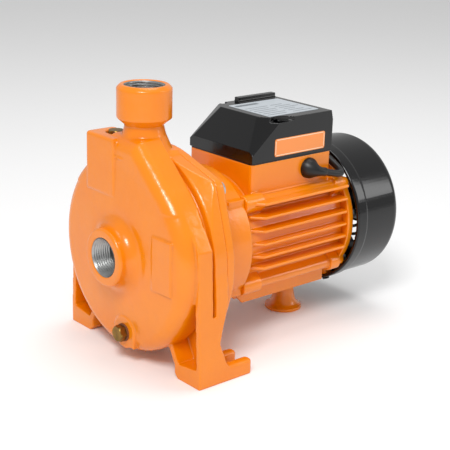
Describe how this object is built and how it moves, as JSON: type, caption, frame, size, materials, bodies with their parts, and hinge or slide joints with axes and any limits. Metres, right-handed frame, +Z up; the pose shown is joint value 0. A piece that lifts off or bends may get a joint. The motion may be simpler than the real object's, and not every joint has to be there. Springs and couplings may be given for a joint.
{
  "type": "centrifugal water pump",
  "caption": "Close-coupled centrifugal water pump: cast volute with threaded suction and outlet, finned motor, fan cover, terminal box.",
  "frame": {"origin": "on the floor under the shaft axis, midway between the suction face and the rear of the fan cover", "axes": "+Z up along the outlet, +X along the shaft from the suction port towards the fan cover, so the suction port faces -X"},
  "size_m": [0.322, 0.2872, 0.24],
  "materials": {
    "cast_iron_paint": "gloss orange enamel on cast iron",
    "frame_paint": "gloss orange enamel on cast aluminium",
    "plated_brass": "machined, lightly tarnished",
    "sealing_fibre": "fibre washer, matt",
    "rubber": "moulded, satin",
    "zinc_steel": "zinc plated",
    "black_screw": "black oxide",
    "stainless": "stainless, turned",
    "shaft_steel": "ground",
    "brass": "cast and turned",
    "ceramic": "lapped ceramic",
    "carbon": "lapped carbon",
    "laminated_steel": "stacked laminations",
    "cast_aluminium": "die cast",
    "copper_winding": "varnished copper wire",
    "black_plastic": "injection moulded, gloss",
    "grey_plastic": "moulded",
    "white_plastic": "moulded",
    "cable_pvc": "soft PVC, satin",
    "nickel_brass": "nickel plated brass",
    "label_silver": "silver polyester film",
    "label_orange": "printed polyester film",
    "bearing_steel": "hardened, ground",
    "bearing_cage": "pressed steel"
  },
  "bodies": {
    "root": {"cable_gland": "rubber", "capacitor": "white_plastic", "capacitor_clip": "zinc_steel", "casing_o_ring": "rubber", "fan_cover": "black_plastic", "fan_cover_screws": "black_screw", "far_leg": "cast_iron_paint", "flange_bolts": "zinc_steel", "front_bearing_outer_ring": "bearing_steel", "mains_lead": "cable_pvc", "mains_lead_coil": "cable_pvc", "mains_plug": "cable_pvc", "motor_bracket": "cast_iron_paint", "motor_frame": "frame_paint", "near_leg": "cast_iron_paint", "plug_blades": "nickel_brass", "pump_body": "cast_iron_paint", "rating_label": "label_silver", "rear_bearing_outer_ring": "bearing_steel", "rear_end_shield": "frame_paint", "seal_seat": "ceramic", "seal_seat_cup": "rubber", "side_label": "label_orange", "stator_core": "laminated_steel", "stator_winding": "copper_winding", "support_foot": "frame_paint", "support_foot_screw": "zinc_steel", "terminal_block": "grey_plastic", "terminal_box_cover": "black_plastic", "terminal_box_gasket": "rubber", "terminal_box_screws": "black_screw", "terminal_screws": "zinc_steel", "tie_bolts": "zinc_steel", "wave_washer": "stainless"},
    "rotor": {"motor_shaft": "shaft_steel", "impeller": "brass", "impeller_key": "stainless", "impeller_washer": "stainless", "impeller_nut": "stainless", "water_slinger": "rubber", "rotor_core": "laminated_steel", "rotor_end_rings": "cast_aluminium", "seal_face_ring": "carbon", "seal_bellows": "rubber", "seal_spring": "stainless", "front_bearing_inner_ring": "bearing_steel", "rear_bearing_inner_ring": "bearing_steel", "cooling_fan": "black_plastic", "fan_circlip": "stainless"},
    "front_bearing_set": {"front_bearing_balls": "bearing_steel", "front_bearing_cage": "bearing_cage"},
    "rear_bearing_set": {"rear_bearing_balls": "bearing_steel", "rear_bearing_cage": "bearing_cage"},
    "drain_washer": {"drain_plug_washer": "sealing_fibre"},
    "drain_plug": {"drain_plug": "plated_brass"},
    "priming_washer": {"priming_plug_washer": "sealing_fibre"},
    "priming_plug": {"priming_plug": "plated_brass"}
  },
  "joints": [
    {"name": "rotor_spin", "type": "hinge", "parent": "root", "child": "rotor", "pos_m": [0, 0, 0.096], "axis": [1, 0, 0], "continuous": true},
    {"name": "front_bearing_spin", "type": "hinge", "parent": "root", "child": "front_bearing_set", "pos_m": [-0.045, 0, 0.096], "axis": [1, 0, 0], "continuous": true},
    {"name": "rear_bearing_spin", "type": "hinge", "parent": "root", "child": "rear_bearing_set", "pos_m": [0.0875, 0, 0.096], "axis": [1, 0, 0], "continuous": true},
    {"name": "drain_plug_out", "type": "slide", "parent": "root", "child": "drain_washer", "axis": [-1, 0, 0], "range_m": [0, 0.01]},
    {"name": "drain_plug_turn", "type": "hinge", "parent": "drain_washer", "child": "drain_plug", "pos_m": [-0.1355, -0.0095, 0.0275], "axis": [-1, 0, 0], "range_deg": [0, 3960]},
    {"name": "priming_plug_out", "type": "slide", "parent": "root", "child": "priming_washer", "axis": [0, 0, 1], "range_m": [0, 0.01]},
    {"name": "priming_plug_turn", "type": "hinge", "parent": "priming_washer", "child": "priming_plug", "pos_m": [-0.1155, 0.029, 0.189], "axis": [0, 0, 1], "range_deg": [0, 3960]}
  ],
  "couplings": [
    {"joint": "front_bearing_spin", "follows": "rotor_spin", "ratio": 0.382},
    {"joint": "rear_bearing_spin", "follows": "rotor_spin", "ratio": 0.36591},
    {"joint": "drain_plug_out", "follows": "drain_plug_turn", "m_per_rad": 0.00014435},
    {"joint": "priming_plug_out", "follows": "priming_plug_turn", "m_per_rad": 0.00014435}
  ]
}
